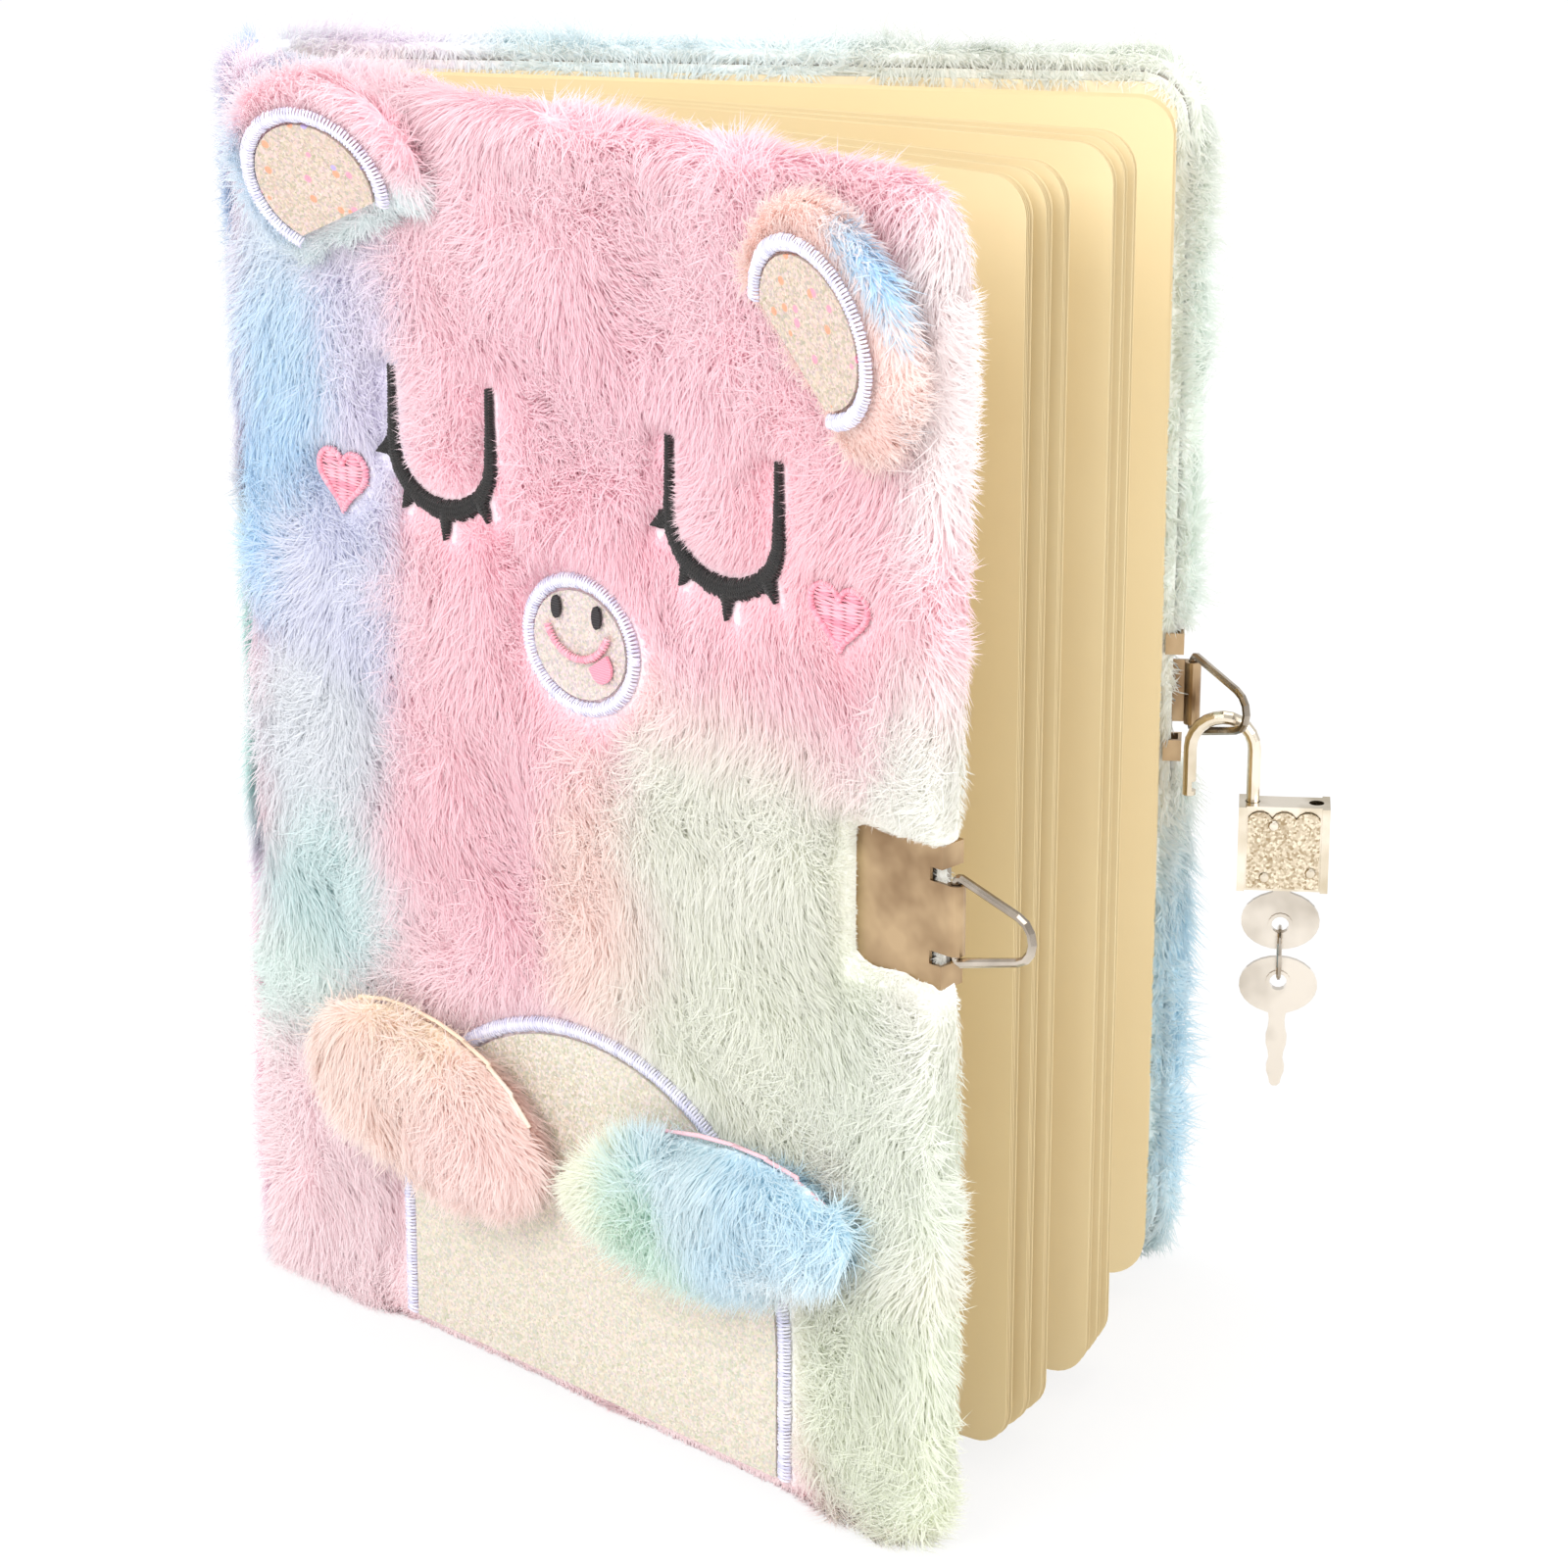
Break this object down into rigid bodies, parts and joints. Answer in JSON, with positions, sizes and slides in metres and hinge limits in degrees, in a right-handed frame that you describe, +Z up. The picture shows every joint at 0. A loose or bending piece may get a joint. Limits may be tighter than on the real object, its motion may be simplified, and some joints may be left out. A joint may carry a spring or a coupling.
{
  "type": "plush lockable diary",
  "caption": "Furry animal-faced diary with hinged cover, leaf groups, hasps with wire loops, a padlock and keys.",
  "frame": {"origin": "on the tail edge of the back cover, which the diary stands on, below the middle of its board's thickness and at the root of the leaves", "axes": "+Z up the height of the diary, +X from the spine to the fore edge along the back cover, +Y out of the back cover, so the face looks to -Y"},
  "size_m": [0.182, 0.1305, 0.2187],
  "materials": {
    "grey_board": "raw grey board",
    "cream_endpaper": "smooth paper",
    "nickel_plate": "nickel plated steel",
    "bright_steel_wire": "bright drawn wire",
    "mint_plush": "long pile plush",
    "champagne_glitter_cloth": "glitter cloth",
    "white_satin_thread": "satin stitch",
    "cream_paper": "uncoated paper",
    "pink_plush": "long pile plush",
    "champagne_nickel": "champagne nickel plating",
    "spring_steel": "spring steel",
    "peach_plush": "long pile plush",
    "black_satin_thread": "satin stitch",
    "pink_satin_thread": "satin stitch",
    "blue_plush": "long pile plush",
    "spine_lining_cloth": "woven lining"
  },
  "bodies": {
    "back": {"back_board": "grey_board", "back_plush": "mint_plush", "back_endpaper": "cream_endpaper", "spine_board": "grey_board", "spine_plush": "pink_plush", "spine_lining": "spine_lining_cloth", "back_hasp": "nickel_plate"},
    "front_cover": {"front_plush": "pink_plush", "front_board": "grey_board", "front_endpaper": "cream_endpaper", "front_hasp": "nickel_plate", "left_eye": "black_satin_thread", "right_eye": "black_satin_thread", "left_heart": "pink_satin_thread", "right_heart": "pink_satin_thread", "nose_patch": "champagne_glitter_cloth", "nose_stitching": "white_satin_thread", "left_nostril": "black_satin_thread", "right_nostril": "black_satin_thread", "smile": "pink_satin_thread", "tongue": "pink_satin_thread", "belly_patch": "champagne_glitter_cloth", "belly_stitching": "white_satin_thread"},
    "rear_group": {"rear_leaves": "cream_paper"},
    "middle_group_rear": {"middle_leaves_rear": "cream_paper"},
    "middle_group": {"middle_leaves": "cream_paper"},
    "middle_group_fore": {"middle_leaves_fore": "cream_paper"},
    "front_group_rear": {"front_leaves_rear": "cream_paper"},
    "front_group": {"front_leaves": "cream_paper"},
    "front_group_fore": {"front_leaves_fore": "cream_paper"},
    "left_ear_flap": {"left_ear": "pink_plush", "left_ear_patch": "champagne_glitter_cloth", "left_ear_stitching": "white_satin_thread"},
    "right_ear_flap": {"right_ear": "peach_plush", "right_ear_patch": "champagne_glitter_cloth", "right_ear_stitching": "white_satin_thread"},
    "left_arm_flap": {"left_arm": "peach_plush"},
    "right_arm_flap": {"right_arm": "blue_plush"},
    "front_wire": {"front_loop": "bright_steel_wire"},
    "back_wire": {"back_loop": "bright_steel_wire"},
    "shackle_rod": {"shackle": "champagne_nickel"},
    "seat": {"spring_seat": "spring_steel"},
    "case": {"padlock_case": "champagne_nickel", "padlock_front_panel": "champagne_nickel", "padlock_back_panel": "champagne_nickel", "padlock_rivet_1": "champagne_nickel", "padlock_rivet_2": "champagne_nickel", "padlock_rivet_3": "champagne_nickel", "shackle_spring": "spring_steel"},
    "plug": {"padlock_plug": "spring_steel"},
    "latch_bolt": {"latch": "spring_steel"},
    "first_key": {"key_1": "champagne_nickel"},
    "ring": {"key_ring": "bright_steel_wire"},
    "second_key": {"key_2": "champagne_nickel"}
  },
  "joints": [
    {"name": "front_cover_hinge", "type": "hinge", "parent": "back", "child": "front_cover", "pos_m": [-0.0062, -0.01666, 0], "axis": [0, 0, -1], "range_deg": [-38.8, 116]},
    {"name": "rear_leaves_turn", "type": "hinge", "parent": "back", "child": "rear_group", "pos_m": [0.00275, -0.00365, 0.004], "axis": [0, 0, -1], "range_deg": [-4.6, 13.55]},
    {"name": "middle_leaves_rear_turn", "type": "hinge", "parent": "back", "child": "middle_group_rear", "pos_m": [0.00283, -0.00593, 0.004], "axis": [0, 0, -1], "range_deg": [-16.4, 48.83]},
    {"name": "middle_leaves_turn", "type": "hinge", "parent": "back", "child": "middle_group", "pos_m": [0.00258, -0.00669, 0.004], "axis": [0, 0, -1], "range_deg": [-18.2, 54.21]},
    {"name": "middle_leaves_fore_turn", "type": "hinge", "parent": "back", "child": "middle_group_fore", "pos_m": [0.00228, -0.00745, 0.004], "axis": [0, 0, -1], "range_deg": [-20, 59.59]},
    {"name": "front_leaves_rear_turn", "type": "hinge", "parent": "back", "child": "front_group_rear", "pos_m": [0.00188, -0.00821, 0.004], "axis": [0, 0, -1], "range_deg": [-26.5, 79.03]},
    {"name": "front_leaves_turn", "type": "hinge", "parent": "back", "child": "front_group", "pos_m": [0.00113, -0.00897, 0.004], "axis": [0, 0, -1], "range_deg": [-28.5, 85.01]},
    {"name": "front_leaves_fore_turn", "type": "hinge", "parent": "back", "child": "front_group_fore", "pos_m": [0.00023, -0.00973, 0.004], "axis": [0, 0, -1], "range_deg": [-30.5, 90.99]},
    {"name": "left_ear_fold", "type": "hinge", "parent": "front_cover", "child": "left_ear_flap", "pos_m": [0.02301, -0.03858, 0.1908], "axis": [0.712, -0.5724, 0.4067], "range_deg": [0, 30]},
    {"name": "right_ear_fold", "type": "hinge", "parent": "front_cover", "child": "right_ear_flap", "pos_m": [0.09799, -0.09933, 0.1848], "axis": [0.5414, -0.4353, -0.7193], "range_deg": [0, 60]},
    {"name": "left_arm_lift", "type": "hinge", "parent": "front_cover", "child": "left_arm_flap", "pos_m": [0.00728, -0.02942, 0.0515], "axis": [0, 0, -1], "range_deg": [0, 60]},
    {"name": "right_arm_lift", "type": "hinge", "parent": "front_cover", "child": "right_arm_flap", "pos_m": [0.10836, -0.11069, 0.052], "axis": [0, 0, 1], "range_deg": [0, 60]},
    {"name": "front_loop_swing", "type": "hinge", "parent": "front_cover", "child": "front_wire", "pos_m": [0.11914, -0.11308, 0.1045], "axis": [0, 0, 1], "range_deg": [-60, 60]},
    {"name": "back_loop_swing", "type": "hinge", "parent": "back", "child": "back_wire", "pos_m": [0.1519, 0.0014, 0.1045], "axis": [0, 0, 1], "range_deg": [-5, 100]},
    {"name": "padlock_swing", "type": "hinge", "parent": "back_wire", "child": "shackle_rod", "pos_m": [0.15729, -0.0055, 0.10004], "axis": [0, -1, 0], "range_deg": [-4, 60]},
    {"name": "shackle_turn", "type": "hinge", "parent": "shackle_rod", "child": "seat", "pos_m": [0.16269, -0.0055, 0.0727], "axis": [0, 0, -1], "range_deg": [0, 180]},
    {"name": "shackle_slide", "type": "slide", "parent": "seat", "child": "case", "axis": [0, 0, 1], "range_m": [0, 0.0062], "deforming": ["shackle_spring"]},
    {"name": "plug_turn", "type": "hinge", "parent": "case", "child": "plug", "pos_m": [0.16809, -0.0055, 0.0727], "axis": [0, 0, -1], "range_deg": [0, 90]},
    {"name": "latch_slide", "type": "slide", "parent": "case", "child": "latch_bolt", "axis": [-1, 0, 0], "range_m": [0, 0.001], "stiffness_N_per_m": 20},
    {"name": "key_withdraw", "type": "slide", "parent": "plug", "child": "first_key", "axis": [0, 0, -1], "range_m": [0, 0.016]},
    {"name": "ring_swing", "type": "hinge", "parent": "first_key", "child": "ring", "pos_m": [0.16809, -0.0055, 0.0649], "axis": [0, 1, 0], "range_deg": [-15, 15]},
    {"name": "key_2_swing", "type": "hinge", "parent": "ring", "child": "second_key", "pos_m": [0.16809, -0.0055, 0.0561], "axis": [0, 1, 0], "range_deg": [-15, 15]}
  ],
  "couplings": [
    {"joint": "rear_leaves_turn", "follows": "front_cover_hinge", "ratio": 0.11598},
    {"joint": "middle_leaves_rear_turn", "follows": "front_cover_hinge", "ratio": 0.4201},
    {"joint": "middle_leaves_turn", "follows": "front_cover_hinge", "ratio": 0.46649},
    {"joint": "middle_leaves_fore_turn", "follows": "front_cover_hinge", "ratio": 0.51289},
    {"joint": "front_leaves_rear_turn", "follows": "front_cover_hinge", "ratio": 0.68041},
    {"joint": "front_leaves_turn", "follows": "front_cover_hinge", "ratio": 0.73196},
    {"joint": "front_leaves_fore_turn", "follows": "front_cover_hinge", "ratio": 0.78351}
  ]
}
